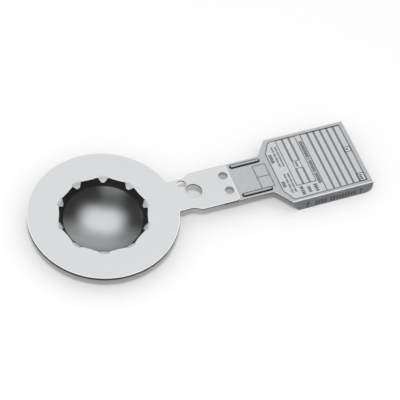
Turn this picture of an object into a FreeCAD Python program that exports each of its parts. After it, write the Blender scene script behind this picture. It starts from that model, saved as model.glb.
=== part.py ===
import FreeCAD, Part
import math
import os

# Reverse-acting rupture disc with a toothed outlet ring, in millimetres.
#
# A thin domed membrane is gripped between two flat rings. The pressure acts on the dome's bulging
# side, below. When the dome snaps over, the teeth of the ring above cut it open. A neck on the
# outlet ring carries a folded tag that stays outside the pipe flanges, where it can be read.
#
# The part stands level on the crown of the dome and the lower edges of the tag's two flanges.
# Everything is laid out from the rings' axis, with +X along the neck, and then moved so that the
# origin is the middle of the part's footprint, on the surface that it stands on.

# --- rings and membrane ---
ring_radius = 46.0            # outside of both rings, to suit a 2 inch raised-face flange
outlet_thickness = 1.0        # toothed ring and its neck, one sheet
inlet_thickness = 0.8         # plain ring under the membrane
inlet_bore_clearance = 0.8    # the inlet ring's bore stands clear of the dome's edge by this much
membrane_thickness = 0.25
membrane_inset = 0.4          # the membrane's rim lies this far inside the rings' outside edge
seat_radius = 30.0            # where the flat rim ends and the dome begins
seat_bend = 0.6               # bend radius there, on the outlet side
dome_depth = 9.75             # from the flat rim down to the crown

# --- teeth of the outlet ring ---
tooth_count = 10
tooth_setback = 1.4           # a tooth begins to bend down this far inside the seat
tooth_root_depth = 1.4        # its root is pressed down within the ring over this length
tooth_root_width = 6.4
tooth_tip_width = 1.8
tooth_bend_radius = 1.4       # inside of the bend
tooth_bend_deg = 52.0         # turned down from flat
tooth_clearance = 0.25        # between a tooth's tip and the dome
tooth_tip_fillet = 0.4
tooth_root_fillet = 1.0
rim_rise = 0.6                # between two teeth the rim comes in past their roots by this much
rim_fillet = 1.5

# --- neck ---
neck_root_width = 23.0
neck_width = 28.4
neck_straight = 7.9           # from the ring's edge to where the neck begins to widen
neck_taper = 5.1              # over which it widens
neck_length = 37.6            # from the ring's edge to the neck's end
neck_root_fillet = 1.5
neck_taper_fillet = 3.0
neck_corner_radius = 2.5
hanging_hole_radius = 5.5
hanging_hole_distance = 11.8  # from the ring's edge to the hole's middle, on the centre line
pin_hole_radius = 2.85        # takes the pin on a flange that sets which way round the disc goes
pin_hole_distance = 6.6
pin_hole_offset = 7.0         # to one side of the centre line

# --- round pressed joints that hold the tag to the neck ---
clinch_radius = 2.8           # the round recess seen from above
clinch_spacing = 11.5
clinch_inset = 4.3            # from the neck's end
clinch_draw = 0.3             # the recess's floor lies this far below the neck's underside
clinch_wall = 0.4             # neck metal round and under the recess
clinch_floor = 0.4            # tag metal under the neck's
clinch_rim = 0.7              # tag metal round it
clinch_gap = 0.02             # between the two pressed cups

# --- tag ---
tag_thickness = 0.8
tag_overlap = 11.2            # the tongue's length under the neck
tongue_width = 28.2
tongue_length = 21.9          # from the neck's end to where the tag begins to widen
tongue_corner_radius = 1.5
shoulder_length = 8.7         # over which the tag widens
shoulder_fillet = 4.0
tag_length = 53.9
tag_width = 50.8
fold_radius = 0.9             # outside of the fold
flange_slant = 5.0            # each flange's near end slopes back by this over its height
flange_corner_radius = 5.0
bead_length = 20.4
bead_width = 3.2
bead_height = 0.8
bead_spacing = 22.4
bead_inset = 2.0              # from the neck's end to the bead's end

# --- levels and places worked out from those sizes ---
tag_top = dome_depth + membrane_thickness
tag_bottom = tag_top - tag_thickness
membrane_top = tag_top
inlet_top = membrane_top - membrane_thickness
ring_top = membrane_top + outlet_thickness
fold_line = seat_radius - tooth_setback
root_line = fold_line - tooth_root_depth
neck_end = ring_radius + neck_length
tongue_start = neck_end - tag_overlap
tongue_end = neck_end + tongue_length
shoulder_end = tongue_end + shoulder_length
tag_end = shoulder_end + tag_length
footprint_middle = (tag_end - ring_radius) / 2

ORIGIN = FreeCAD.Vector(0, 0, 0)
UP = FreeCAD.Vector(0, 0, 1)
PAST = 1.0                    # how far a cutting tool runs past what it cuts


def point(x, y, z=0.0):
    return FreeCAD.Vector(x, y, z)


def outline(corners, z):
    """Closed wire through (x, y, radius) corners, each rounded by its own radius."""
    count = len(corners)
    ends = []
    for i, (x, y, radius) in enumerate(corners):
        here = point(x, y, z)
        before = (point(*corners[i - 1][:2], z) - here).normalize()
        after = (point(*corners[(i + 1) % count][:2], z) - here).normalize()
        if radius == 0:
            ends.append((here, None, here))
            continue
        half = before.getAngle(after) / 2
        reach = radius / math.tan(half)
        inward = (before + after).normalize()
        crown = here + inward * (radius / math.sin(half) - radius)
        ends.append((here + before * reach, crown, here + after * reach))
    edges = []
    for i, (start, crown, end) in enumerate(ends):
        if crown is not None:
            edges.append(Part.Arc(start, crown, end).toShape())
        edges.append(Part.LineSegment(end, ends[(i + 1) % count][0]).toShape())
    return Part.Wire(edges)


def slab(corners, bottom, top):
    """Flat solid with an outline of rounded corners, between two heights."""
    return Part.Face(outline(corners, bottom)).extrude(UP * (top - bottom))


def mirrored(corners):
    """A half outline on the -Y side, given along +X, closed by its mirror image."""
    return corners + [(x, -y, radius) for x, y, radius in reversed(corners)]


def rectangle(x_low, x_high, half_width):
    return mirrored([(x_low, -half_width, 0), (x_high, -half_width, 0)])


def disc(radius, bottom, top, x=0.0, y=0.0):
    return Part.makeCylinder(radius, top - bottom, point(x, y, bottom))


def turned(x, y, angle):
    """The plan point (x, y) turned about the rings' axis."""
    cos, sin = math.cos(angle), math.sin(angle)
    return (x * cos - y * sin, x * sin + y * cos)


def clinch_places():
    return [(neck_end - clinch_inset, side * clinch_spacing / 2) for side in (-1, 1)]


# ------------------------------------------------------------------- membrane

def dome_radius():
    """Radius of the dome's upper surface, a part of a sphere."""
    return (seat_radius ** 2 + dome_depth ** 2) / (2 * dome_depth)


def dome_centre_height():
    return membrane_top - dome_depth + dome_radius()


def dome_edge_below():
    """Where the lower surface of the dome meets the lower surface of the flat rim."""
    return math.sqrt((dome_radius() + membrane_thickness) ** 2
                     - (dome_centre_height() - inlet_top) ** 2)


def ball(radius):
    """Ball about the dome's centre. Its poles lie to the sides, clear of the dome."""
    return Part.makeSphere(radius, point(0, 0, dome_centre_height()), point(1, 0, 0))


def rupture_dome():
    """Flat rim and dome of one even thickness: a plate with a hollow ball sunk through it."""
    rim = disc(ring_radius - membrane_inset, inlet_top, membrane_top)
    below = disc(ring_radius - membrane_inset, -PAST, membrane_top)
    shape = rim.fuse(ball(dome_radius() + membrane_thickness).common(below))
    shape = shape.cut(ball(dome_radius())).removeSplitter()
    shape = bent_seat(shape, seat_radius, membrane_top, seat_bend)
    return bent_seat(shape, dome_edge_below(), inlet_top, seat_bend + membrane_thickness)


def bent_seat(shape, radius, height, bend):
    """Round the circle where the dome meets the flat rim."""
    small = 0.001
    seat = [edge for edge in shape.Edges
            if not edge.Degenerated and isinstance(edge.Curve, Part.Circle)
            and abs(edge.Curve.Radius - radius) < small
            and abs(edge.Curve.Center.z - height) < small]
    return shape.makeFillet(bend, seat)


def inlet_ring():
    bottom = inlet_top - inlet_thickness
    bore = dome_edge_below() + inlet_bore_clearance
    return disc(ring_radius, bottom, inlet_top).cut(disc(bore, bottom - PAST, inlet_top + PAST))


# ---------------------------------------------------------------- outlet ring

def tooth_profile():
    """Side view of a tooth: points on its upper and its lower side, out to in."""
    bend = math.radians(tooth_bend_deg)
    pivot_height = membrane_top - tooth_bend_radius

    def on_bend(radius, angle):
        return point(fold_line - radius * math.sin(angle), 0,
                     pivot_height + radius * math.cos(angle))

    along = point(-math.cos(bend), 0, -math.sin(bend))
    start = on_bend(tooth_bend_radius, bend)
    from_centre = start - point(0, 0, dome_centre_height())
    reach = dome_radius() - tooth_clearance
    slope = from_centre.dot(along)
    length = math.sqrt(slope ** 2 + reach ** 2 - from_centre.Length ** 2) - slope
    sides = []
    for radius in (tooth_bend_radius + outlet_thickness, tooth_bend_radius):
        side = [on_bend(radius, bend * share) for share in (0, 0.5, 1)]
        sides.append(side + [side[-1] + along * length])
    return sides


def tooth_plan(end):
    """The tooth seen from above, from its fold line in to its tip at x = end."""
    root = tooth_root_width / 2
    tip = tooth_tip_width / 2
    narrowing = (root - tip) / (root_line - end)
    return slab(mirrored([
        (fold_line, -root, tooth_root_fillet),
        (root_line, -root, 0),
        (end - tip / (2 * narrowing), -tip / 2, 0),
    ]), 0, ring_top + PAST)


def tooth():
    """One tooth on the +X side: a strip folded down, narrowed to its tip."""
    upper, lower = tooth_profile()
    path = [
        Part.Arc(*upper[:3]).toShape(),
        Part.LineSegment(upper[2], upper[3]).toShape(),
        Part.LineSegment(upper[3], lower[3]).toShape(),
        Part.LineSegment(lower[3], lower[2]).toShape(),
        Part.Arc(*lower[2::-1]).toShape(),
        Part.LineSegment(lower[0], upper[0]).toShape(),
    ]
    strip = Part.Face(Part.Wire(path)).extrude(point(0, 2 * tooth_root_width, 0))
    strip.translate(point(0, -tooth_root_width, 0))
    shape = strip.common(tooth_plan(upper[3].x))
    tip_face = min(shape.Faces, key=lambda face: face.CenterOfMass.x)
    corners = [edge for edge in tip_face.Edges
               if edge.Vertexes[0].Point.y * edge.Vertexes[1].Point.y > 0]
    return shape.makeFillet(tooth_tip_fillet, corners)


def at_tooth(shape, index):
    """A copy of what was made for the +X tooth, turned to another tooth's place."""
    copy = shape.copy()
    copy.rotate(ORIGIN, UP, 360 * index / tooth_count)
    return copy


def rim_opening():
    """The ring's opening without its teeth: a root line for each, and the rim in between."""
    corners = []
    for index in range(tooth_count):
        angle = 2 * math.pi * index / tooth_count
        for side in (-1, 1):
            corners.append((*turned(root_line, side * tooth_root_width / 2, angle), 0))
        middle = angle + math.pi / tooth_count
        corners.append((*turned(root_line - rim_rise, 0, middle), rim_fillet))
    return slab(corners, membrane_top - PAST, ring_top + PAST)


def blank():
    """Flat sheet of the ring and its neck."""
    root = neck_root_width / 2
    wide = neck_width / 2
    neck = slab(mirrored([
        ((fold_line + ring_radius) / 2, -root, 0),
        (ring_radius + neck_straight, -root, neck_taper_fillet),
        (ring_radius + neck_straight + neck_taper, -wide, neck_taper_fillet),
        (neck_end, -wide, neck_corner_radius),
    ]), membrane_top, ring_top)
    shape = disc(ring_radius, membrane_top, ring_top).fuse(neck).removeSplitter()
    meeting = math.sqrt(ring_radius ** 2 - root ** 2)
    small = 0.01
    corners = [edge for edge in shape.Edges
               if abs(edge.CenterOfMass.x - meeting) < small
               and abs(abs(edge.CenterOfMass.y) - root) < small
               and abs(edge.Length - outlet_thickness) < small]
    return shape.makeFillet(neck_root_fillet, corners)


def outlet_ring():
    shape = blank().cut(rim_opening())
    holes = [
        (hanging_hole_radius, hanging_hole_distance, 0),
        (pin_hole_radius, pin_hole_distance, pin_hole_offset),
    ]
    for radius, distance, side in holes:
        x = ring_radius + distance
        shape = shape.cut(disc(radius, membrane_top - PAST, ring_top + PAST, x, side))
    one_tooth = tooth()
    one_gap = tooth_plan(root_line - PAST)
    for index in range(tooth_count):
        shape = shape.cut(at_tooth(one_gap, index)).fuse(at_tooth(one_tooth, index))
    recess_floor = membrane_top - clinch_draw
    for x, y in clinch_places():
        cup = disc(clinch_radius + clinch_wall, recess_floor - clinch_wall, ring_top, x, y)
        recess = disc(clinch_radius, recess_floor, ring_top + PAST, x, y)
        shape = shape.fuse(cup).cut(recess)
    return shape.removeSplitter()


# ------------------------------------------------------------------------ tag

def tag_plan(bottom, top):
    """The tag seen from above: tongue, shoulders and the wide plate."""
    narrow = tongue_width / 2
    wide = tag_width / 2
    return slab(mirrored([
        (tongue_start, -narrow, tongue_corner_radius),
        (tongue_end, -narrow, shoulder_fillet),
        (shoulder_end, -wide, 0),
        (tag_end, -wide, 0),
    ]), bottom, top)


def along_tag(corners):
    """Solid with a section of (y, z, radius) corners, along the tag's wide part."""
    solid = slab(corners, tongue_end, tag_end)
    solid.rotate(ORIGIN, point(1, 1, 1), 120)
    return solid


def folded_channel():
    """The wide plate with a flange folded down along each side."""
    outside = tag_width / 2
    inside = outside - tag_thickness
    inner_fold = fold_radius - tag_thickness
    outer = along_tag([(-outside, 0, 0), (outside, 0, 0),
                       (outside, tag_top, fold_radius), (-outside, tag_top, fold_radius)])
    inner = along_tag([(-inside, -PAST, 0), (inside, -PAST, 0),
                       (inside, tag_bottom, inner_fold), (-inside, tag_bottom, inner_fold)])
    return outer.cut(inner)


def flange_trim():
    """What is cut away to slope each flange's near end and round its far corner."""
    span = tag_width + 2 * PAST
    slope = flange_slant / tag_bottom
    near = slab([(tongue_end - PAST, -PAST, 0),
                 (shoulder_end + flange_slant + slope * PAST, -PAST, 0),
                 (shoulder_end, tag_bottom, 0), (tongue_end - PAST, tag_bottom, 0)], 0, span)
    corner_x = tag_end - flange_corner_radius
    far = slab([(corner_x, -PAST, 0), (tag_end + PAST, -PAST, 0),
                (tag_end + PAST, flange_corner_radius, 0),
                (corner_x, flange_corner_radius, 0)], 0, span)
    far = far.cut(disc(flange_corner_radius, -PAST, span + PAST, corner_x, flange_corner_radius))
    tool = near.fuse(far)
    tool.rotate(ORIGIN, point(1, 0, 0), 90)
    tool.translate(point(0, span / 2, 0))
    return tool


def bead_bar(side, inward):
    """Round bar with round ends, whose upper side is a stiffening bead's."""
    arch = (bead_width ** 2 / 4 + bead_height ** 2) / (2 * bead_height)
    height = tag_top + bead_height - arch
    radius = arch - inward
    start = neck_end + bead_inset + bead_width / 2
    end = neck_end + bead_inset + bead_length - bead_width / 2
    y = side * bead_spacing / 2
    bar = Part.makeCylinder(radius, end - start, point(start, y, height), point(1, 0, 0))
    for x in (start, end):
        bar = bar.fuse(Part.makeSphere(radius, point(x, y, height)))
    return bar


def id_tag():
    middle = slab(rectangle(tongue_start - PAST, tag_end, tag_width / 2 - fold_radius),
                  tag_bottom, tag_top)
    plate = tag_plan(tag_bottom, tag_top).common(middle)
    channel = folded_channel().common(tag_plan(-PAST, tag_top + PAST)).cut(flange_trim())
    shape = plate.fuse(channel)
    above = slab(rectangle(tongue_start, tag_end, tag_width / 2),
                 tag_bottom, tag_top + bead_height + PAST)
    for side in (-1, 1):
        shape = shape.fuse(bead_bar(side, 0).common(above))
        shape = shape.cut(bead_bar(side, tag_thickness))
    pressed_radius = clinch_radius + clinch_wall
    pressed_floor = membrane_top - clinch_draw - clinch_wall
    for x, y in clinch_places():
        boss = disc(pressed_radius + clinch_rim, pressed_floor - clinch_floor, tag_top, x, y)
        pocket = disc(pressed_radius + clinch_gap, pressed_floor, tag_top + PAST, x, y)
        shape = shape.fuse(boss).cut(pocket)
    return shape.removeSplitter()


pieces = {
    "outlet_ring": outlet_ring(),
    "rupture_dome": rupture_dome(),
    "inlet_ring": inlet_ring(),
    "id_tag": id_tag(),
}

os.makedirs("parts", exist_ok=True)
for name, shape in pieces.items():
    shape.translate(point(-footprint_middle, 0, 0))
    shape.exportStep("parts/" + name + ".step")
    box = shape.optimalBoundingBox(False, False)
    print(name, "valid" if shape.isValid() else "NOT VALID", "solids", len(shape.Solids),
          "volume %.1f" % shape.Volume, "x %.2f to %.2f" % (box.XMin, box.XMax),
          "y %.2f to %.2f" % (box.YMin, box.YMax), "z %.2f to %.2f" % (box.ZMin, box.ZMax))
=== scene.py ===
# %% [markdown]
# # A rupture disc, from its frame to a finished part
#
# A rupture disc protects a vessel from too much pressure. A thin metal dome is gripped between two
# flat rings, and the dome snaps over and is cut open by the teeth of the upper ring when the
# pressure below it gets too high. A neck leads to a folded tag that stays outside the pipe.
#
# The frame holds the four sheets of the part at their real size. Here they get their finish: the
# broken edges with their painted highlights and painted shade, the mirror of the dome, the grain of
# the tag and its marking.

# %% Load the frame
import math

import bmesh
import bpy
from mathutils import Matrix, Vector, kdtree


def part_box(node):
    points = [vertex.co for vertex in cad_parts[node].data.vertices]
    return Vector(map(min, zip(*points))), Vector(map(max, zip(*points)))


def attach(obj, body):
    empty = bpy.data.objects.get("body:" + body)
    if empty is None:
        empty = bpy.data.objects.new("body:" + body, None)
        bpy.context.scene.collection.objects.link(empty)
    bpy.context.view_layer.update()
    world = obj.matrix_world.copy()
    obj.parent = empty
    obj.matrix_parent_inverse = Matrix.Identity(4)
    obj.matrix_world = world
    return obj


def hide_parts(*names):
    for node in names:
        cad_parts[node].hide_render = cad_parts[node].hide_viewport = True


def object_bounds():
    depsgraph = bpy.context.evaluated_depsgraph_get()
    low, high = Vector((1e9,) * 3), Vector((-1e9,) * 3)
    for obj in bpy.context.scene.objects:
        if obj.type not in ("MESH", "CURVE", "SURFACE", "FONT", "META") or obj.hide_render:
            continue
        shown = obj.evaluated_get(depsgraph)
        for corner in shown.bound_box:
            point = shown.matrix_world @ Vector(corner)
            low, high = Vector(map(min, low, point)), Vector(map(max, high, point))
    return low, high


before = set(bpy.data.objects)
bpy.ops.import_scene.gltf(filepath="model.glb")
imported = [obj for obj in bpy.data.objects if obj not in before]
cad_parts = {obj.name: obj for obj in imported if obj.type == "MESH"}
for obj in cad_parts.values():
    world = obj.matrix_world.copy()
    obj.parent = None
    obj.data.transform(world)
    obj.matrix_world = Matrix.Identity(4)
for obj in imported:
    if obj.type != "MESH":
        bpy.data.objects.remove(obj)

MM = 0.001
CAD_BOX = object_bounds()
print("frame:", sorted(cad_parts), [round(v / MM, 1) for v in CAD_BOX[1] - CAD_BOX[0]], "mm")

# %% [markdown]
# ## Places to measure from
#
# Everything is placed from the frame's own boxes, so nothing has to be fitted by eye. The dome is
# round, so the middle of its box is the axis of both rings too. The tag's box gives its far end and
# its width. Its beads stand above its flat top, which touches the neck's underside, and so is level
# with the dome's rim.

# %% Read the frame's boxes
ring_low, ring_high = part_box("inlet_ring")
outlet_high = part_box("outlet_ring")[1]
dome_low, dome_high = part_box("rupture_dome")
tag_low, tag_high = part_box("id_tag")

AXIS_X = (dome_low.x + dome_high.x) / 2
RING_RADIUS = (ring_high.x - ring_low.x) / 2
RING_TOP = outlet_high.z
RIM_TOP = dome_high.z
RIM_RADIUS = (dome_high.x - dome_low.x) / 2
TAG_END = tag_high.x
TAG_TOP = RIM_TOP
TAG_SIDE = tag_high.y
print("axis at x %.2f mm, tag from %.2f to %.2f mm" % (AXIS_X / MM, tag_low.x / MM, TAG_END / MM))

# %% [markdown]
# ## Finishes
#
# All four sheets are stainless steel, but each is finished in its own way. A polished metal in
# Blender is the Principled shader with Metallic at 1: the base colour is then the colour of its
# reflections, and the roughness says how wide they are smeared. A satin sheet also scatters some
# light from its tiny pits, so its Metallic is a little lower and it never turns quite black. A
# rolled sheet is never quite even, so a noise texture, stretched far along one direction, moves the
# colour and the roughness a little. It reads Object coordinates, which are the part's own metres,
# so the grain has a real size.

# %% A helper for grained steel
GRAIN_DETAIL = 3.0
PALEST, DARKEST = 0.7, 0.3
RELIEF = 0.02 * MM


def steel(name, colour, roughness, grain_turn=0.0, grain_fine=900.0, grain_long=25.0,
          colour_swing=0.05, roughness_swing=0.06, bump=0.0, metallic=1.0):
    """Stainless sheet with a grain that runs along one direction in the plane of the sheet."""
    material = bpy.data.materials.new(name)
    material.use_nodes = True
    nodes, links = material.node_tree.nodes, material.node_tree.links
    shader = nodes["Principled BSDF"]
    shader.inputs["Metallic"].default_value = metallic
    place = nodes.new("ShaderNodeTexCoord")
    turn = nodes.new("ShaderNodeMapping")
    turn.inputs["Rotation"].default_value = (0, 0, grain_turn)
    stretch = nodes.new("ShaderNodeMapping")
    stretch.inputs["Scale"].default_value = (grain_long, grain_fine, grain_long)
    noise = nodes.new("ShaderNodeTexNoise")
    noise.inputs["Scale"].default_value = 1.0
    noise.inputs["Detail"].default_value = GRAIN_DETAIL
    links.new(place.outputs["Object"], turn.inputs["Vector"])
    links.new(turn.outputs["Vector"], stretch.inputs["Vector"])
    links.new(stretch.outputs["Vector"], noise.inputs["Vector"])
    shades = nodes.new("ShaderNodeValToRGB")
    low, high = shades.color_ramp.elements
    low.position, high.position = DARKEST, PALEST
    low.color = (*[c * (1 - colour_swing) for c in colour], 1)
    high.color = (*[min(c * (1 + colour_swing), 1) for c in colour], 1)
    links.new(noise.outputs["Fac"], shades.inputs["Fac"])
    links.new(shades.outputs["Color"], shader.inputs["Base Color"])
    spread = nodes.new("ShaderNodeMapRange")
    spread.inputs["To Min"].default_value = roughness - roughness_swing
    spread.inputs["To Max"].default_value = roughness + roughness_swing
    links.new(noise.outputs["Fac"], spread.inputs["Value"])
    links.new(spread.outputs["Result"], shader.inputs["Roughness"])
    if bump:
        relief = nodes.new("ShaderNodeBump")
        relief.inputs["Strength"].default_value = bump
        relief.inputs["Distance"].default_value = RELIEF
        links.new(noise.outputs["Fac"], relief.inputs["Height"])
        links.new(relief.outputs["Normal"], shader.inputs["Normal"])
    return material


# %% The finishes of the four sheets
SATIN = 0.75
BRUSH_TURN = math.radians(-35)
BRUSHED = {"grain_turn": BRUSH_TURN, "grain_fine": 1400.0, "grain_long": 120.0, "colour_swing": 0.06,
           "bump": 0.1, "metallic": SATIN}
PRESSED = {"grain_fine": 120.0, "grain_long": 60.0}

ring_steel = steel("ring_steel", (0.777, 0.789, 0.798), 0.32, colour_swing=0.01, bump=0.03,
                   metallic=SATIN)
dome_foil = steel("dome_foil", (0.665, 0.675, 0.685), 0.2, colour_swing=0.02, roughness_swing=0.02,
                  **PRESSED)
# The dome's dark band is painted shade under the ring's edge and teeth.
dome_shade_band = steel("dome_shade_band", (0.09, 0.088, 0.09), 0.45, **PRESSED)
tag_steel = steel("tag_steel", (0.61, 0.62, 0.633), 0.36, **BRUSHED)
field_steel = steel("field_steel", (0.745, 0.755, 0.768), 0.36, **BRUSHED)
box_steel = steel("box_steel", (0.84, 0.85, 0.86), 0.36, colour_swing=0.03, metallic=SATIN)
sheets = (ring_steel, dome_foil, dome_shade_band, tag_steel, field_steel, box_steel)
print("sheets:", [finish.name for finish in sheets])

# %% [markdown]
# The edges have finishes of their own, and most of them carry painted shade and painted highlights.
# The sheared outline is a duller steel, darkened further as painted shade. The laser-cut walls of the
# openings are painted nearly black, as painted shade. Where the sheet's face meets them, the corner
# gets a painted highlight. The lower ring lies under the upper one, and its corner gets the dark
# sheared finish instead, as painted shade in the gap. The bent teeth are a paler, more diffuse copy of
# the ring steel, painted light that keeps them light, and the steep sides of the beads are painted
# dark as painted shade. The folded flanges and the floors of the pressed buttons are a darker copy of
# the steel, as painted shade.

# %% The finishes of the edges, with their painted shade and painted highlights
# Partly a duller sheared finish, partly painted shade: the walls face the shaded floor.
sheared_shaded_edge = steel("sheared_shaded_edge", (0.16, 0.16, 0.165), 0.45, colour_swing=0.12, metallic=SATIN)
# The laser-cut walls are painted nearly black: painted shade inside the openings.
laser_shaded_edge = steel("laser_shaded_edge", (0.05, 0.05, 0.052), 0.5, colour_swing=0.15, metallic=SATIN)
# A painted highlight: the near-white strip along the sheets' corners and the round of the fold.
corner_highlight = steel("corner_highlight", (0.97, 0.97, 0.97), 0.4, colour_swing=0.02, metallic=0.2)
# A paler, more diffuse copy of the ring steel: painted light that keeps the bent teeth light.
tooth_highlight_steel = steel("tooth_highlight_steel", (0.86, 0.86, 0.865), 0.32, colour_swing=0.02, metallic=0.45)
# Painted shade on the steep sides of the beads.
bead_side_shade = steel("bead_side_shade", (0.05, 0.05, 0.052), 0.45, colour_swing=0.1, metallic=SATIN)
# A darker copy of the tag steel: painted shade on the folded flanges and the pressed buttons' floors.
shaded_steel = steel("shaded_steel", (0.525, 0.54, 0.57), 0.4, grain_turn=BRUSH_TURN, bump=0.1,
                   metallic=SATIN)
edges_and_bends = (sheared_shaded_edge, laser_shaded_edge, corner_highlight, tooth_highlight_steel, bead_side_shade, shaded_steel)
print("edges and bends:", [finish.name for finish in edges_and_bends])

# %% [markdown]
# The marking on the tag is a flat dark grey, darkest in the words and palest in the broad bars.

# %% The finishes of the marking
INK_ROUGHNESS = 0.55
MOTTLE_FINE = 1500.0
MOTTLE_SWING = 0.12


def ink(name, colour):
    """Flat marking, very slightly mottled, as if pressed into the grain of the sheet."""
    material = bpy.data.materials.new(name)
    material.use_nodes = True
    nodes, links = material.node_tree.nodes, material.node_tree.links
    shader = nodes["Principled BSDF"]
    shader.inputs["Roughness"].default_value = INK_ROUGHNESS
    place = nodes.new("ShaderNodeTexCoord")
    noise = nodes.new("ShaderNodeTexNoise")
    noise.inputs["Scale"].default_value = MOTTLE_FINE
    shades = nodes.new("ShaderNodeValToRGB")
    low, high = shades.color_ramp.elements
    low.color = (*[c * (1 - MOTTLE_SWING) for c in colour], 1)
    high.color = (*[c * (1 + MOTTLE_SWING) for c in colour], 1)
    links.new(place.outputs["Object"], noise.inputs["Vector"])
    links.new(noise.outputs["Fac"], shades.inputs["Fac"])
    links.new(shades.outputs["Color"], shader.inputs["Base Color"])
    return material


line_ink = ink("line_ink", (0.16, 0.16, 0.166))
bar_ink = ink("bar_ink", (0.195, 0.195, 0.205))
word_ink = ink("word_ink", (0.10, 0.10, 0.105))
print("marking:", [finish.name for finish in (line_ink, bar_ink, word_ink)])

# %% [markdown]
# ## Small helpers
#
# Each new piece is one mesh, made in a bmesh and turned into an object that sits at the origin. The
# function also gives a piece its smooth shading: faces that meet at less than the given angle shade
# as one surface.

# %% Make a bmesh into a piece of the part
def piece_from(bm, name, material, smooth_turn):
    """An object made of the bmesh, carried by the part's only body, in one slot of its materials."""
    mesh = bpy.data.meshes.new(name)
    bm.to_mesh(mesh)
    bm.free()
    mesh.materials.append(material)
    mesh.shade_smooth()
    mesh.set_sharp_from_angle(angle=smooth_turn)
    piece = bpy.data.objects.new(name, mesh)
    bpy.context.scene.collection.objects.link(piece)
    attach(piece, "root")
    return piece


# %% [markdown]
# ## Sheets with broken edges
#
# A punched sheet is tumbled, so its corners are slightly rounded. The thin bright line that this
# draws round every hole is painted on those corners as a painted highlight. The frame's solids have
# perfectly sharp edges. A copy of such a node is loose triangles, so its corners are merged first,
# then triangles that lie in one plane are dissolved into one face. After that, two kinds of surface
# are looked for: walls, which are the narrow strips that the cutting left, and broad flats.

# %% Copy a node as clean faces
MERGE = 0.0005 * MM
FLAT_TURN = math.radians(0.5)


def clean_copy(node):
    """A node's mesh with its triangles joined, and those in one plane dissolved."""
    bm = bmesh.new()
    bm.from_mesh(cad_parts[node].data)
    bmesh.ops.remove_doubles(bm, verts=bm.verts, dist=MERGE)
    bmesh.ops.dissolve_limit(bm, angle_limit=FLAT_TURN, verts=bm.verts, edges=bm.edges,
                             use_dissolve_boundaries=False, delimit={"NORMAL"})
    return bm


# %% Find the walls and the broad flats of a sheet
SMOOTH_TURN = math.radians(30)
WALL = 1.1 * MM
BROAD = 500 * MM * MM
LEVEL = 0.001 * MM
LEVEL_NORMAL = 0.9999


def connected(faces, passes=lambda edge: True):
    """Groups of faces that can be reached from one another over edges that let them pass."""
    waiting = set(faces)
    groups = []
    for first in faces:
        if first not in waiting:
            continue
        waiting.discard(first)
        group, front = set(), [first]
        while front:
            face = front.pop()
            group.add(face)
            for edge in face.edges:
                if passes(edge):
                    near = [other for other in edge.link_faces if other in waiting]
                    waiting.difference_update(near)
                    front.extend(near)
        groups.append(group)
    return groups


def area_of(group):
    return sum(face.calc_area() for face in group)


def rim_of(group):
    return sum(edge.calc_length() for face in group for edge in face.edges
               if any(other not in group for other in edge.link_faces))


def is_wall(group):
    """A strip no wider than the sheet is thick."""
    return 2 * area_of(group) / rim_of(group) < WALL


def height_of(face):
    levels = [vert.co.z for vert in face.verts]
    return max(levels) - min(levels)


def walls_of(bm):
    """The groups of faces that turn smoothly into one another and are only a strip."""
    groups = connected(bm.faces, lambda edge: edge.calc_face_angle(math.pi) < SMOOTH_TURN)
    return [group for group in groups if is_wall(group)]


def flats_of(bm):
    """The broad level areas, upper and lower."""
    level = [face for face in bm.faces
             if abs(face.normal.z) > LEVEL_NORMAL and height_of(face) < LEVEL]
    return [group for group in connected(level) if area_of(group) > BROAD]


# %% [markdown]
# A Bevel would do for a plain plate, but beside the teeth some edges run out to nothing, where a
# bevel makes spikes. So each broad flat is inset by a hair instead. Where the strip that this makes
# lies on a wall, it gets a painted highlight, and its outer rim is pressed down a little: a sloped
# corner. Along the outline the strip is widened, so that the sloped corner and its painted highlight
# are wider there, except where two edges nearly meet.

# %% Slope the corners of one broad flat
NARROW_CORNER = 0.15 * MM
CORNER = 0.52 * MM
CORNER_DROP = 0.1 * MM
SLIGHT_DROP = 0.04 * MM
BRIDGE = 1.2 * MM
GAP_SHARE = 0.4
FACING = -0.5
STEP = 0.5 * MM
SHEARED_SHADE, LASER_SHADE, PAINTED_HIGHLIGHT, FORMED_PAINTED_LIGHT, PAINTED_SHADE = 1, 2, 3, 4, 5


def flatten(group):
    """Put a flat's corners back in its plane, which an inset beside a sharp notch leaves."""
    level = min(vert.co.z for face in group for vert in face.verts)
    for face in group:
        for vert in face.verts:
            vert.co.z = level


def widen(strip, flat, rim):
    """Move a narrow strip's inner corners on, to full width, but not where two edges nearly meet."""
    inner = {vert for face in flat for vert in face.verts}
    inner_of = {}
    for face in strip:
        for edge in face.edges:
            start, end = edge.verts
            if (start in inner) != (end in inner):
                start, end = (end, start) if start in inner else (start, end)
                inner_of[start] = end
    pairs = list(inner_of.items())
    ways = [(end.co - start.co).to_2d().normalized() for start, end in pairs]
    near = kdtree.KDTree(len(pairs))
    for index, (start, end) in enumerate(pairs):
        near.insert(start.co, index)
    near.balance()
    for way, (start, end) in zip(ways, pairs):
        found = near.find_range(start.co, BRIDGE)
        if all(pairs[other][0] in rim for _, other, _ in found):
            across = [gap for _, other, gap in found if ways[other].dot(way) < FACING]
            end.co.xy = start.co.xy + way * min([CORNER] + [GAP_SHARE * gap for gap in across])


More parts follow.
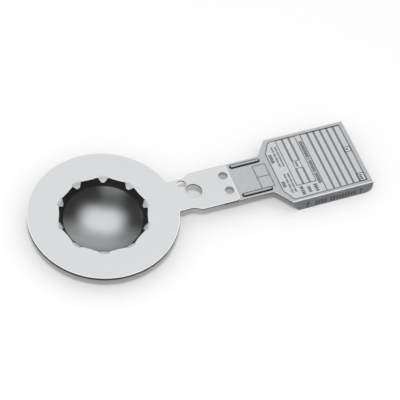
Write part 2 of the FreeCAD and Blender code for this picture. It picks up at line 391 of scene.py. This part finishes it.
def break_corners(bm, flat, wall_faces, outline):
    """Inset a flat, give its strip a painted highlight along walls, and press down the strip's rim
    wherever it lies on a wall of full height.
    """
    inward = Vector((0, 0, -max(flat, key=lambda face: face.calc_area()).normal.z))
    strip = bmesh.ops.inset_region(bm, faces=list(flat), thickness=NARROW_CORNER,
                                   use_boundary=True, use_even_offset=False)["faces"]
    on_walls = {edge for face in strip for edge in face.edges
                if any(other in wall_faces for other in edge.link_faces)}
    # The strip that lies on a wall gets the painted highlight.
    for face in strip:
        if on_walls.intersection(face.edges):
            face.material_index = PAINTED_HIGHLIGHT
    flatten(flat)
    outer = {vert for edge in on_walls for vert in edge.verts
             if any(face in outline for face in vert.link_faces)}
    widen(strip, flat, outer)
    rim = {vert for edge in on_walls for vert in edge.verts
           if max(height_of(face) for face in vert.link_faces if face in wall_faces) > STEP}
    broad = rim & outer if inward.z < 0 else set()
    bmesh.ops.translate(bm, verts=list(broad), vec=inward * CORNER_DROP)
    bmesh.ops.translate(bm, verts=list(rim - broad), vec=inward * SLIGHT_DROP)
    for edge in {edge for face in strip for edge in face.edges}:
        edge.seam = any(other in flat for other in edge.link_faces)


# %% [markdown]
# Each sheet is then copied, sorted into its finishes and given its broken corners. A face's finish is
# a number, its place in the list of the piece's materials: 0 is the sheet itself, and the edges' and
# bends' finishes, which carry the painted shade and highlights, follow in the order of the five names
# above. A Weighted Normal modifier lets the large faces set the shading, so that the flats stay flat
# and only the folds turn.

# %% Copy a sheet from the frame and break its edges
SHEET_TURN = math.radians(35)
LARGE_FACES_FIRST = 100


def broken_edges(node, name, material, cut_inside=SHEARED_SHADE, corner=corner_highlight, formed=(),
                 finish_of=lambda face: 0):
    """A copy of a node with broken corners. finish_of gives the number of a face's finish."""
    bm = clean_copy(node)
    for face in bm.faces:
        face.material_index = finish_of(face)
    walls, flats = walls_of(bm), flats_of(bm)
    wall_faces = set().union(*walls)
    outline = max(walls, key=area_of)
    # The walls get painted shade: the sheared finish on the outline, and cut_inside on the other
    # walls.
    for group in walls:
        for face in group:
            face.material_index = SHEARED_SHADE if group is outline else cut_inside
    for flat in flats:
        break_corners(bm, flat, wall_faces, outline)
    piece = piece_from(bm, name, material, SHEET_TURN)
    for finish in (sheared_shaded_edge, laser_shaded_edge, corner, *formed):
        piece.data.materials.append(finish)
    for edge in piece.data.edges:
        if edge.use_seam:
            edge.use_edge_sharp = True
    even = piece.modifiers.new("even_flats", "WEIGHTED_NORMAL")
    even.keep_sharp = True
    even.weight = LARGE_FACES_FIRST
    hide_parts(node)
    print(name, "faces:", len(piece.data.polygons), "walls:", len(walls), "flats:", len(flats))


# %% The two rings
TOOTH_REACH = 28.9 * MM
LEAST_LEAN = 0.02
UPWARD = 0.9


def finish_of_outlet(face):
    """The teeth get the pale painted-light steel, and the floors of the two pressed buttons painted
    shade.
    """
    middle = face.calc_center_median()
    reach = (middle - Vector((AXIS_X, 0, middle.z))).length
    # The teeth get the pale painted-light steel.
    if reach < TOOTH_REACH and LEAST_LEAN < abs(face.normal.z) < LEVEL_NORMAL:
        return FORMED_PAINTED_LIGHT
    # The floors of the pressed buttons get painted shade.
    if reach > RING_RADIUS and face.normal.z > UPWARD and middle.z < RING_TOP - STEP:
        return PAINTED_SHADE
    return 0


broken_edges("outlet_ring", "outlet_sheet", ring_steel, cut_inside=LASER_SHADE,
             formed=(tooth_highlight_steel, shaded_steel), finish_of=finish_of_outlet)
# The lower ring's corners get the dark sheared finish: painted shade in the gap under the upper ring.
broken_edges("inlet_ring", "inlet_sheet", ring_steel, corner=sheared_shaded_edge)

# %% The tag
BEAD_STEEP = 0.92
FOLD = 3.0 * MM
FOLD_SIDE = 0.6


def finish_of_tag(face):
    """The beads' steep sides and the folded flanges get painted shade, the round of the fold a painted
    highlight.
    """
    middle = face.calc_center_median()
    # The beads' steep sides get painted shade.
    if middle.z > TAG_TOP and face.normal.z < BEAD_STEEP:
        return FORMED_PAINTED_LIGHT
    if middle.z < TAG_TOP and abs(middle.y) > TAG_SIDE - FOLD:
        # The folded flanges get painted shade.
        if abs(face.normal.y) > FOLD_SIDE:
            return PAINTED_SHADE
        # The round of the fold gets a painted highlight.
        return PAINTED_HIGHLIGHT if face.normal.z > 0 and abs(face.normal.y) > LEAST_LEAN else 0
    return 0


broken_edges("id_tag", "tag_sheet", tag_steel, formed=(bead_side_shade, shaded_steel),
             finish_of=finish_of_tag)

# %% [markdown]
# ## The dome
#
# The dome is foil pressed into a part of a ball, so bright that it works as a concave mirror. A
# mirror shows every facet, so the frame's triangles won't do. Its section is drawn once as a thin
# strip - along the upper side, round the rim and back along the lower side - and spun a full turn
# about the rings' axis, which gives an even mesh whose shading is exactly round.

# %% Draw the dome's section
SEAT_RADIUS = 30.0 * MM
SEAT_BEND = 0.6 * MM
FOIL = 0.25 * MM
DOME_DEPTH = RIM_TOP - FOIL - dome_low.z
DOME_RADIUS = (SEAT_RADIUS ** 2 + DOME_DEPTH ** 2) / (2 * DOME_DEPTH)
DOME_CENTRE = RIM_TOP - DOME_DEPTH + DOME_RADIUS
DOME_STEPS = 48
BEND_STEPS = 5


def dome_side(radius, level, bend):
    """One side of the foil in section, as (r, z): up the dome, round the seat, out to the rim."""
    bend_centre = level - bend
    reach = math.sqrt((radius + bend) ** 2 - (DOME_CENTRE - bend_centre) ** 2)
    tangent = math.atan2(reach, DOME_CENTRE - bend_centre)
    points = []
    for i in range(DOME_STEPS + 1):
        angle = tangent * i / DOME_STEPS
        points.append((radius * math.sin(angle), DOME_CENTRE - radius * math.cos(angle)))
    for i in range(1, BEND_STEPS + 1):
        angle = tangent * (1 - i / BEND_STEPS)
        points.append((reach - bend * math.sin(angle), bend_centre + bend * math.cos(angle)))
    points.append((RIM_RADIUS, level))
    return points


upper = dome_side(DOME_RADIUS, RIM_TOP, SEAT_BEND)
lower = dome_side(DOME_RADIUS + FOIL, RIM_TOP - FOIL, SEAT_BEND + FOIL)
section = upper + lower[::-1]
print("dome: radius %.2f mm, depth %.2f mm, %d points in its section"
      % (DOME_RADIUS / MM, DOME_DEPTH / MM, len(section)))

# %% [markdown]
# Under the teeth a band of the foil is painted dull and nearly black: painted shade under the ring's
# edge and teeth. The band is round, as the dome's own rows of faces are, so it needs no texture:
# those faces get a second material, the painted shade.

# %% Spin the section, and paint the band of shade
SPIN_STEPS = 192
SHADE_BAND_START = 24.2 * MM
HOLLOW_SIDE = 0.5
DOME_TURN = math.radians(30)


def paint_shade_band(bm):
    """Paint the band of shade that runs round the dome's hollow side, under the teeth, and count its
    faces.
    """
    count = 0
    for face in bm.faces:
        middle = face.calc_center_median() - Vector((AXIS_X, 0, 0))
        if face.normal.z > HOLLOW_SIDE and SHADE_BAND_START < middle.xy.length < SEAT_RADIUS:
            face.material_index = 1
            count += 1
    return count


dome_mesh = bmesh.new()
verts = [dome_mesh.verts.new((AXIS_X + r, 0, z)) for r, z in section]
edges = [dome_mesh.edges.new(pair) for pair in zip(verts, verts[1:])]
bmesh.ops.spin(dome_mesh, geom=verts + edges, cent=(AXIS_X, 0, 0), axis=(0, 0, 1),
               angle=2 * math.pi, steps=SPIN_STEPS, use_merge=True, use_duplicate=False)
bmesh.ops.remove_doubles(dome_mesh, verts=dome_mesh.verts, dist=MERGE)
bmesh.ops.recalc_face_normals(dome_mesh, faces=dome_mesh.faces)
in_shade_band = paint_shade_band(dome_mesh)
print("dome:", len(dome_mesh.faces), "faces,", in_shade_band, "of them in the dark band")
dome_sheet = piece_from(dome_mesh, "dome_sheet", dome_foil, DOME_TURN)
# The second material is the band of painted shade.
dome_sheet.data.materials.append(dome_shade_band)
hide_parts("rupture_dome")

# %% [markdown]
# ## The marking on the tag
#
# The marking is ruled like a form: a frame line, thin and broad bars, boxes, and rows of small
# print. The real words are left out. In their place are plain blocks about as long as words, which
# is how a designer stands in for text. The steel inside the frame line and inside the boxes was
# brushed before marking and is paler, so it gets a very thin field of its own. Every field and mark
# is a slab that lies on the sheet, so it can be seen as geometry in the exported part too. A place
# on the tag is given by two numbers in millimetres: how far it is from the far end, measured back
# towards the rings, and how far it is from the middle.

# %% Thin slabs that lie on the tag
MARK_HEIGHT = 0.03 * MM
MARK_SINK = 0.02 * MM
FIELD_HEIGHT = 0.01 * MM
BOX_HEIGHT = 0.02 * MM
MARK_TURN = math.radians(20)


def on_tag(back, across):
    """A point on the tag's upper side, from its far end (back) and its middle line (across)."""
    return Vector((TAG_END - back * MM, across * MM, TAG_TOP))


def sunk_face(bm, corners):
    """A face through (back, across) places, a hair below the tag's surface."""
    sink = Vector((0, 0, -MARK_SINK))
    return bm.faces.new([bm.verts.new(on_tag(*corner) + sink) for corner in corners])


def thicken(bm, faces, way):
    """Turn flat faces into a slab by moving a copy of them along way, and closing the sides."""
    raised = bmesh.ops.extrude_face_region(bm, geom=faces, use_keep_orig=True)["geom"]
    moved = [item for item in raised if isinstance(item, bmesh.types.BMVert)]
    bmesh.ops.translate(bm, verts=moved, vec=way)


def add_bar(bm, start, end, width):
    """A straight slab between two (back, across) places."""
    a, b = on_tag(*start), on_tag(*end)
    along = (b - a).normalized()
    side = Vector((-along.y, along.x, 0))
    height = MARK_HEIGHT + MARK_SINK
    middle = (a + b) / 2 + Vector((0, 0, MARK_HEIGHT - height / 2))
    turn = Matrix((along, side, (0, 0, 1))).transposed().to_4x4()
    size = Matrix.Diagonal(((b - a).length, width * MM, height, 1))
    bmesh.ops.create_cube(bm, size=1.0, matrix=Matrix.Translation(middle) @ turn @ size)


def add_band(bm, corners, width):
    """A closed line of one width: a face through the corners, inset, with its middle taken out."""
    face = sunk_face(bm, corners)
    face.normal_update()
    rim = bmesh.ops.inset_region(bm, faces=[face], thickness=width * MM, use_even_offset=True,
                                 use_boundary=True)["faces"]
    bmesh.ops.delete(bm, geom=[face], context="FACES_ONLY")
    thicken(bm, rim, (0, 0, MARK_HEIGHT + MARK_SINK))


def add_field(bm, corners, height):
    """A field of paler steel, thinner than the marks that lie on it."""
    thicken(bm, [sunk_face(bm, corners)], (0, 0, height + MARK_SINK))


def finish_marks(bm, name, material):
    bmesh.ops.recalc_face_normals(bm, faces=bm.faces)
    mark = piece_from(bm, name, material, MARK_TURN)
    print(name, "faces:", len(mark.data.polygons))


# %% Fields of paler steel: inside the frame line, and in the boxes
FRAME_LINE = [(57.2, 14.6), (53.0, 21.6), (51.2, 22.8), (3.0, 22.8), (3.0, -22.8), (51.4, -23.6),
              (52.8, -23.2), (57.2, -15.4)]


def box_round(back, far, low, high):
    """The corners of a box between two distances from the far end and two from the middle."""
    return [(back, high), (far, high), (far, low), (back, low)]


BOXES = [box_round(43.2, 38.0, -2.0, 4.3), box_round(8.4, 3.2, 0.9, 5.1),
         box_round(8.4, 3.2, -22.5, -16.2)]
field = bmesh.new()
add_field(field, FRAME_LINE, FIELD_HEIGHT)
finish_marks(field, "tag_field", field_steel)
boxes = bmesh.new()
for box in BOXES:
    add_field(boxes, box, BOX_HEIGHT)
finish_marks(boxes, "tag_boxes", box_steel)

# %% Lines: the frame, the rules and the boxes
LINE = 0.7
THIN_LINE = 0.58
SIDE = 22.5
RULES_END = -13.9
RULE_OVERLAP = 0.2
RULE_BACK, RULE_FAR = 47.2, 34.1
WIDE_RULE = 30.4
TONGUE_BOX = box_round(68.9, 60.0, -10.2, 8.0)
TONGUE_RULE = ((68.7, -1.1), (60.2, -1.1))

lines = bmesh.new()
add_band(lines, FRAME_LINE, LINE)
for back in (RULE_BACK, RULE_FAR):
    add_bar(lines, (back, SIDE), (back, RULES_END - RULE_OVERLAP), THIN_LINE)
add_bar(lines, (RULE_BACK, RULES_END), (RULE_FAR, RULES_END), THIN_LINE)
add_bar(lines, (WIDE_RULE, SIDE), (WIDE_RULE, -SIDE), LINE)
for box in (*BOXES, TONGUE_BOX):
    add_band(lines, box, THIN_LINE)
add_bar(lines, *TONGUE_RULE, THIN_LINE)
finish_marks(lines, "tag_lines", line_ink)

# %% Bars: the broad rules between the rows
BAR = 1.4
SPLIT_BARS = (42.8, 38.3)
SPLIT_LOW, SPLIT_HIGH = -1.9, 4.2
SIDE_BAR = 0.7
SIDE_BARS = ((47.0, 34.2), (30.2, 3.4))
SIDE_BAR_PLACE = SIDE - 0.3
STRIPE_PITCH = 4.45
FIRST_STRIPE = 7.75
STRIPES = 5

bars = bmesh.new()
for back in SPLIT_BARS:
    add_bar(bars, (back, SIDE), (back, SPLIT_HIGH), BAR)
    add_bar(bars, (back, SPLIT_LOW), (back, RULES_END), BAR)
for index in range(STRIPES):
    back = FIRST_STRIPE + STRIPE_PITCH * index
    add_bar(bars, (back, SIDE), (back, -SIDE), BAR)
for start, end in SIDE_BARS:
    add_bar(bars, (start, SIDE_BAR_PLACE), (end, SIDE_BAR_PLACE), SIDE_BAR)
finish_marks(bars, "tag_bars", bar_ink)

# %% [markdown]
# Each row of the table below is one line of print: how far back it is and where it starts, the
# number of letters in each word, then the height and length of a letter, the gap after it and the
# space after a word, all in millimetres.

# %% Blocks in place of words
FOUR_WORDS = (5, 4, 5, 4)
PRINT = [
    (32.2, 17.4, (13, 1, 9, 8), 2.2, 0.78, 0.25, 0.65),
    (51.6, 18.0, FOUR_WORDS, 1.15, 0.6, 0.22, 0.45),
    (51.6, -3.5, FOUR_WORDS, 1.15, 0.55, 0.2, 0.45),
    (49.2, 18.0, FOUR_WORDS, 1.15, 0.6, 0.22, 0.45),
    (49.2, -3.5, FOUR_WORDS, 1.15, 0.55, 0.2, 0.45),
    (54.7, 12.8, (6,), 2.1, 0.85, 0.3, 0),
    (54.6, -8.8, (4,), 2.1, 0.85, 0.3, 0),
    (40.6, -16.6, (4,), 2.1, 0.85, 0.3, 0),
    (45.1, -15.4, (2, 3), 2.2, 0.95, 0.3, 0.3),
    (36.0, -15.9, (3, 1), 2.2, 1.05, 0.35, 0.2),
    (41.0, 3.2, (3,), 1.6, 1.0, 0.35, 0),
    (5.9, 3.7, (1,), 1.7, 1.2, 0.3, 0),
    (5.9, -17.4, (3,), 1.7, 1.1, 0.3, 0),
]


def add_words(bm, back, start, counts, height, letter, gap, space):
    """A line of print: each word is a row of letter-sized blocks, laid towards -across."""
    place = start
    for count in counts:
        for _ in range(count):
            add_bar(bm, (back, place), (back, place - letter), height)
            place -= letter + gap
        place -= space


words = bmesh.new()
for row in PRINT:
    add_words(words, *row)
finish_marks(words, "tag_words", word_ink)

# %% [markdown]
# ## The marks on the near flange
#
# The flange that faces the reader shows which way the flow goes: an arrow that points up near each
# end, and a row of blocks in place of the words between them. They are slabs that stand on the
# flange's outer side.

# %% Arrows and blocks on the flange
ARROW = [(0.45, 0.5), (-0.45, 0.5), (-0.45, 4.2), (-1.3, 4.2), (0, 7.0), (1.3, 4.2), (0.45, 4.2)]
ARROW_PLACES = (43.6, 7.6)
BLOCK, BLOCK_GAP = 1.4, 0.6
BLOCK_LOW, BLOCK_HIGH = 1.6, 5.9
BLOCK_ROWS = ((38.6, 4), (28.6, 9))


def flange_slab(bm, corners):
    """A thin slab with an outline of (back, height) corners, on the flange's outer side."""
    verts = [bm.verts.new((TAG_END - back * MM, -TAG_SIDE + MARK_SINK, height * MM))
             for back, height in corners]
    thicken(bm, [bm.faces.new(verts)], (0, -MARK_HEIGHT - MARK_SINK, 0))


flange = bmesh.new()
for place in ARROW_PLACES:
    flange_slab(flange, [(place + along, height) for along, height in ARROW])
for start, count in BLOCK_ROWS:
    for index in range(count):
        back = start - index * (BLOCK + BLOCK_GAP)
        flange_slab(flange, box_round(back, back - BLOCK, BLOCK_LOW, BLOCK_HIGH))
finish_marks(flange, "flange_marks", word_ink)

# %% [markdown]
# ## The studio
#
# The floor is plain and white. What the camera sees of it gets a touch of its own light, so that it
# is white where nothing shades it: Light Path's Is Camera Ray keeps that light off the part.

# %% Floor
FLOOR_WHITE = 0.96
FLOOR_ROUGHNESS = 0.9
FLOOR_LIFT = 0.02
FLOOR_HALF = 6.0
FLOOR_LEVEL = CAD_BOX[0][2] - 0.01 * MM


def stage_piece(bm, name, material):
    """A piece of the studio, which isn't part of the object."""
    data = bpy.data.meshes.new(name)
    bm.to_mesh(data)
    bm.free()
    data.materials.append(material)
    board = bpy.data.objects.new(name, data)
    bpy.context.scene.collection.objects.link(board)
    print(name, "faces:", len(data.polygons))
    return board


floor_white = bpy.data.materials.new("floor_white")
floor_white.use_nodes = True
floor_nodes, floor_links = floor_white.node_tree.nodes, floor_white.node_tree.links
floor_shader = floor_nodes["Principled BSDF"]
floor_shader.inputs["Base Color"].default_value = (FLOOR_WHITE, FLOOR_WHITE, FLOOR_WHITE, 1)
floor_shader.inputs["Roughness"].default_value = FLOOR_ROUGHNESS
floor_shader.inputs["Specular IOR Level"].default_value = 0.0
floor_shader.inputs["Emission Color"].default_value = (1, 1, 1, 1)
floor_path = floor_nodes.new("ShaderNodeLightPath")
floor_lift = floor_nodes.new("ShaderNodeMapRange")
floor_lift.inputs["To Max"].default_value = FLOOR_LIFT
floor_links.new(floor_path.outputs["Is Camera Ray"], floor_lift.inputs["Value"])
floor_links.new(floor_lift.outputs["Result"], floor_shader.inputs["Emission Strength"])

floor_mesh = bmesh.new()
bmesh.ops.create_grid(floor_mesh, x_segments=1, y_segments=1, size=FLOOR_HALF,
                      matrix=Matrix.Translation((0, 0, FLOOR_LEVEL)))
stage_piece(floor_mesh, "floor", floor_white)

# %% [markdown]
# The camera looks down on the near side of the part through a long lens, from about a metre, so the
# rings stay nearly as wide at the front as at the back. Its place is worked out from a few values that
# are easy to change: what it looks at, from which side, how steeply, how far it is tilted, and how far
# away it is.

# %% Camera
VIEW_TURN = math.radians(-27.43)
VIEW_HEIGHT = math.radians(53.92)
VIEW_ROLL = math.radians(8.44)
LOOK_AT = Vector((AXIS_X + 59.3 * MM, -7.3 * MM, RING_TOP))
DISTANCE = 989.2 * MM
LENS = 146.6
SENSOR = 36.0


def view_axes(turn, height, roll):
    """Right, up and back directions of a camera."""
    back = Vector((math.sin(turn) * math.cos(height), -math.cos(turn) * math.cos(height),
                   math.sin(height)))
    level = Vector((math.cos(turn), math.sin(turn), 0))
    upright = back.cross(level)
    right = math.cos(roll) * level + math.sin(roll) * upright
    up = math.cos(roll) * upright - math.sin(roll) * level
    return right, up, back


right, up, back = view_axes(VIEW_TURN, VIEW_HEIGHT, VIEW_ROLL)
camera_data = bpy.data.cameras.new("camera")
camera_data.lens = LENS
camera_data.sensor_width = SENSOR
camera = bpy.data.objects.new("camera", camera_data)
camera.matrix_world = (Matrix.Translation(LOOK_AT + back * DISTANCE)
                       @ Matrix((right, up, back)).transposed().to_4x4())
bpy.context.scene.collection.objects.link(camera)
bpy.context.scene.camera = camera
print("camera:", [round(v, 3) for v in camera.matrix_world.translation], "lens", LENS, "mm")

# %% [markdown]
# The world fills the shade from all sides. To the camera and to reflections it is plain white, at a
# strength of 1, and Light Path's Is Diffuse Ray lets it light the surfaces with a little less. One
# key light adds the shadow. It is small and nearly overhead, a little to the near side, so the shadow
# stays close under the part and has a crisp edge. Reflections don't see it: they have a room of their
# own, which comes next.

# %% World and light
WORLD_LIGHT = 0.74
KEY_TURN = math.pi
KEY_RISE = math.radians(72)
KEY_DISTANCE = 1.6
KEY_WIDTH, KEY_DEPTH = 0.24, 0.18
KEY_POWER = 8.4

world = bpy.data.worlds.new("studio")
bpy.context.scene.world = world
world.use_nodes = True
world_nodes, world_links = world.node_tree.nodes, world.node_tree.links
background = world_nodes["Background"]
background.inputs["Color"].default_value = (1, 1, 1, 1)
paths = world_nodes.new("ShaderNodeLightPath")
strength = world_nodes.new("ShaderNodeMapRange")
strength.inputs["To Min"].default_value = 1.0
strength.inputs["To Max"].default_value = WORLD_LIGHT
world_links.new(paths.outputs["Is Diffuse Ray"], strength.inputs["Value"])
world_links.new(strength.outputs["Result"], background.inputs["Strength"])


def towards(azimuth, elevation):
    """Unit direction: azimuth 0 is straight behind the part as the camera sees it."""
    turn = VIEW_TURN + azimuth
    return Vector((-math.sin(turn) * math.cos(elevation), math.cos(turn) * math.cos(elevation),
                   math.sin(elevation)))


def facing(direction, distance):
    """A matrix at that distance from the rings' middle whose -Z looks back at it."""
    centre = Vector((AXIS_X, 0, RIM_TOP))
    turn = direction.to_track_quat("Z", "Y").to_matrix().to_4x4()
    return Matrix.Translation(centre + direction * distance) @ turn


key_data = bpy.data.lights.new("key", "AREA")
key_data.shape = "RECTANGLE"
key_data.size = KEY_WIDTH
key_data.size_y = KEY_DEPTH
key_data.energy = KEY_POWER
key = bpy.data.objects.new("key", key_data)
key.matrix_world = facing(towards(KEY_TURN, KEY_RISE), KEY_DISTANCE)
key.visible_glossy = False
bpy.context.scene.collection.objects.link(key)
print("world:", WORLD_LIGHT, "key:", KEY_POWER, "W,", KEY_DISTANCE, "m away")

# %% [markdown]
# ## What the steel reflects
#
# A mirror shows its surroundings and nothing else, so a bright part needs a room round it. This one
# is a tent: a large half ball over the part that only reflections can see. Its tone is painted on
# its corners by a small function, with soft edges: a bright window behind the part, which the flat
# sheets and the middle of the dome look at, a duller wall below it, and a dark screen round them
# that shapes the dome. Low down on the other sides the room is bright again, so that the flat
# sheets look like steel from there too.
#
# The function takes a plan of the tent seen from below, in degrees from straight up: right and far.
# Tilt is how far a place is from straight up, and turn is how far round it is from the far side. Each
# pair of degrees is where a fade starts and where it ends.

# %% The tones of the tent
SCREEN_TONE = 0.036
ROOM_TONE = 0.62
ROOM_TILT, ROOM_TURN = (52, 62), (58, 74)
NEAR_ROOM_TILT, NEAR_ROOM_TURN = (38, 50), (120, 140)
ROOF_TONE, GLOW_TONE, WINDOW_TONE = 0.13, 0.27, 1.0
ROOF = {"centre": (-10, 2), "half": (15, 9), "corner": 8, "soft": 6}
GLOW = {"centre": (-9, -24), "half": (16, 16), "corner": 8, "soft": 6}
WINDOW = {"centre": (-2, 31), "half": (24, 20), "corner": 16, "soft": 10}
HORIZON_TONE = 0.9
HORIZON_TILT = (76, 84)
WALL_TONE, WALL_SIDE_TONE = 0.49, 0.27
WALL_TILT, WALL_DIMS = (46, 56), (8, 34)
WALL_RIGHT, WALL_LEFT = (26, 46), (30, 52)


def fade(value, start, end):
    """0 before start, 1 after end, and a smooth step between them."""
    share = min(max((value - start) / (end - start), 0.0), 1.0)
    return share * share * (3 - 2 * share)


def mix(below, above, share):
    return below + (above - below) * share


def patch(right, far, centre, half, corner, soft):
    """1 inside a rounded rectangle of the plan, and 0 outside, with a soft edge."""
    out_right = max(abs(right - centre[0]) - (half[0] - corner), 0.0)
    out_far = max(abs(far - centre[1]) - (half[1] - corner), 0.0)
    return 1 - fade(math.hypot(out_right, out_far) - corner, -soft, soft)


def tent_tone(right, far):
    """The tone at one place of the plan: each line lays one more part of the room over the last."""
    tilt = math.hypot(right, far)
    turn = math.degrees(math.atan2(right, far))
    tone = mix(SCREEN_TONE, ROOM_TONE, fade(tilt, *ROOM_TILT) * fade(abs(turn), *ROOM_TURN))
    tone = mix(tone, ROOM_TONE, fade(tilt, *NEAR_ROOM_TILT) * fade(abs(turn), *NEAR_ROOM_TURN))
    tone = mix(tone, ROOF_TONE, patch(right, far, **ROOF))
    tone = mix(tone, GLOW_TONE, patch(right, far, **GLOW))
    tone = mix(tone, HORIZON_TONE, fade(tilt, *HORIZON_TILT))
    wall = mix(WALL_TONE, WALL_SIDE_TONE, fade(abs(turn), *WALL_DIMS))
    wall_share = (1 - fade(turn, *WALL_RIGHT)) * (1 - fade(-turn, *WALL_LEFT))
    tone = mix(tone, wall, fade(tilt, *WALL_TILT) * wall_share)
    return mix(tone, WINDOW_TONE, patch(right, far, **WINDOW))


print("straight up:", round(tent_tone(0, 0), 3), "window:", round(tent_tone(*WINDOW["centre"]), 3))

# %% [markdown]
# Painting the corners of a mesh keeps the tent free of pictures: the tones sit in a colour layer,
# and the material reads it with an Attribute node. Four switches keep the tent out of the camera's
# sight and out of the light that falls on the part.

# %% The tent
TENT_RADIUS = 1.4
TENT_COLUMNS, TENT_ROWS = 120, 80
TENT_LAYER = "tone"
TINY = 1e-6


def seen_in_reflections_only(board):
    board.visible_camera = False
    board.visible_diffuse = False
    board.visible_shadow = False
    board.visible_transmission = False


def painted(name, layer=None, tone=1.0):
    """A material that glows with the tone of a mesh's colour layer, or with one tone."""
    material = bpy.data.materials.new(name)
    material.use_nodes = True
    nodes, links = material.node_tree.nodes, material.node_tree.links
    nodes.clear()
    emission = nodes.new("ShaderNodeEmission")
    emission.inputs["Color"].default_value = (tone, tone, tone, 1)
    if layer:
        paint = nodes.new("ShaderNodeAttribute")
        paint.attribute_name = layer
        links.new(paint.outputs["Color"], emission.inputs["Color"])
    output = nodes.new("ShaderNodeOutputMaterial")
    links.new(emission.outputs["Emission"], output.inputs["Surface"])
    return material


FAR_WAY, RIGHT_WAY = towards(0, 0), towards(-math.pi / 2, 0)


def place_in_plan(way):
    """A direction from the tent's centre as its place in the plan: right and far, in degrees."""
    tilt = math.degrees(math.acos(min(max(way.z, -1), 1)))
    flat = Vector((way.x, way.y, 0))
    flat = flat.normalized() if flat.length > TINY else Vector()
    return tilt * flat.dot(RIGHT_WAY), tilt * flat.dot(FAR_WAY)


tent_centre = Vector((AXIS_X, 0, RIM_TOP))
tent_mesh = bmesh.new()
bmesh.ops.create_uvsphere(tent_mesh, u_segments=TENT_COLUMNS, v_segments=TENT_ROWS,
                          radius=TENT_RADIUS, matrix=Matrix.Translation(tent_centre))
below = [vert for vert in tent_mesh.verts if vert.co.z < tent_centre.z - MM]
bmesh.ops.delete(tent_mesh, geom=below, context="VERTS")
tone_layer = tent_mesh.verts.layers.float_color.new(TENT_LAYER)
for vert in tent_mesh.verts:
    tone = tent_tone(*place_in_plan((vert.co - tent_centre).normalized()))
    vert[tone_layer] = (tone, tone, tone, 1)
seen_in_reflections_only(stage_piece(tent_mesh, "tent", painted("tent_glow", TENT_LAYER)))

# %% [markdown]
# The sheets' walls and the flange look down at the floor, and on a white floor they would turn as
# pale as the faces above them. A dark mat just over the floor, seen in reflections only, gives them
# their depth, and the camera still sees the white floor with the part's shadow.

# %% The mat
MAT_MARGIN = 60 * MM
MAT_LIFT = 0.005 * MM
MAT_TONE = 0.10

mat_size = CAD_BOX[1] - CAD_BOX[0] + 2 * Vector((MAT_MARGIN, MAT_MARGIN, 0))
mat_middle = (CAD_BOX[0] + CAD_BOX[1]) / 2
mat_middle.z = FLOOR_LEVEL + MAT_LIFT
mat_mesh = bmesh.new()
bmesh.ops.create_grid(mat_mesh, x_segments=1, y_segments=1, size=0.5,
                      matrix=Matrix.Translation(mat_middle) @ Matrix.Diagonal((*mat_size.xy, 1, 1)))
seen_in_reflections_only(stage_piece(mat_mesh, "mat", painted("mat_tone", tone=MAT_TONE)))

# %% [markdown]
# ## The last settings
#
# With the Standard view, a colour renders as it is written, with no film look on top.

# %% Colours as they are, with no film look
bpy.context.scene.view_settings.view_transform = "Standard"
